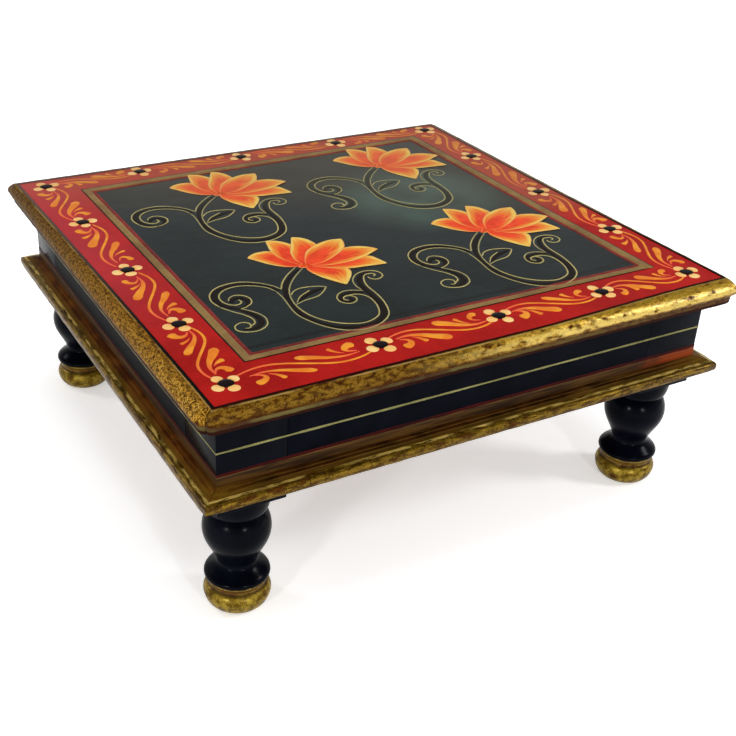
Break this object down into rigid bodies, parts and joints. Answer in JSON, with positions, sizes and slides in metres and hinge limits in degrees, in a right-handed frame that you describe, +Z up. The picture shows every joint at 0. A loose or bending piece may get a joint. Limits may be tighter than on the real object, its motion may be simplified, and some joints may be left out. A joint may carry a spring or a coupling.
{
  "type": "bajot low table",
  "caption": "Low painted table with a boarded square top in gilt mouldings, a shallow railed frame and turned legs with bun feet.",
  "frame": {"origin": "centre of the footprint, on the floor under the middle of the table", "axes": "+Z up; +X to the right along the front, which is the slightly longer side and faces -Y"},
  "size_m": [0.4, 0.3854, 0.1686],
  "materials": {
    "field_paint": "dark green-grey paint under soft varnish",
    "gilding": "worn burnished gold over dark brown",
    "navy_paint": "glossy near-black blue lacquer",
    "bare_wood": "unfinished, open grain",
    "wire_steel": "dull drawn wire",
    "red_paint": "deep red paint under varnish",
    "orange_paint": "hand-painted orange strokes",
    "cream_paint": "hand-painted cream strokes",
    "lotus_paint": "red shaded through orange to yellow",
    "olive_gold_paint": "dull gold paint, mottled",
    "vine_paint": "pale olive lines",
    "black_paint": "black lines and dots"
  },
  "bodies": {
    "root": {"front_board": "field_paint", "front_middle_board": "field_paint", "back_middle_board": "field_paint", "back_board": "field_paint", "front_top_moulding": "gilding", "right_top_moulding": "gilding", "back_top_moulding": "gilding", "left_top_moulding": "gilding", "front_lower_moulding": "gilding", "right_lower_moulding": "gilding", "back_lower_moulding": "gilding", "left_lower_moulding": "gilding", "front_rail": "navy_paint", "right_rail": "navy_paint", "back_rail": "navy_paint", "left_rail": "navy_paint", "front_left_leg": "navy_paint", "front_right_leg": "navy_paint", "back_right_leg": "navy_paint", "back_left_leg": "navy_paint", "front_peg_start": "bare_wood", "front_peg_finish": "bare_wood", "right_peg_start": "bare_wood", "right_peg_finish": "bare_wood", "back_peg_start": "bare_wood", "back_peg_finish": "bare_wood", "left_peg_start": "bare_wood", "left_peg_finish": "bare_wood", "front_top_brad_start": "wire_steel", "front_top_brad_finish": "wire_steel", "right_top_brad_start": "wire_steel", "right_top_brad_finish": "wire_steel", "back_top_brad_start": "wire_steel", "back_top_brad_finish": "wire_steel", "left_top_brad_start": "wire_steel", "left_top_brad_finish": "wire_steel", "front_lower_brad_start": "wire_steel", "front_lower_brad_finish": "wire_steel", "right_lower_brad_start": "wire_steel", "right_lower_brad_finish": "wire_steel", "back_lower_brad_start": "wire_steel", "back_lower_brad_finish": "wire_steel", "left_lower_brad_start": "wire_steel", "left_lower_brad_finish": "wire_steel", "front_rail_nail_1": "wire_steel", "front_rail_nail_2": "wire_steel", "right_rail_nail_1": "wire_steel", "right_rail_nail_2": "wire_steel", "back_rail_nail_1": "wire_steel", "back_rail_nail_2": "wire_steel", "left_rail_nail_1": "wire_steel", "left_rail_nail_2": "wire_steel", "front_left_leg_nail": "wire_steel", "front_right_leg_nail": "wire_steel", "back_right_leg_nail": "wire_steel", "back_left_leg_nail": "wire_steel"}
  },
  "joints": []
}
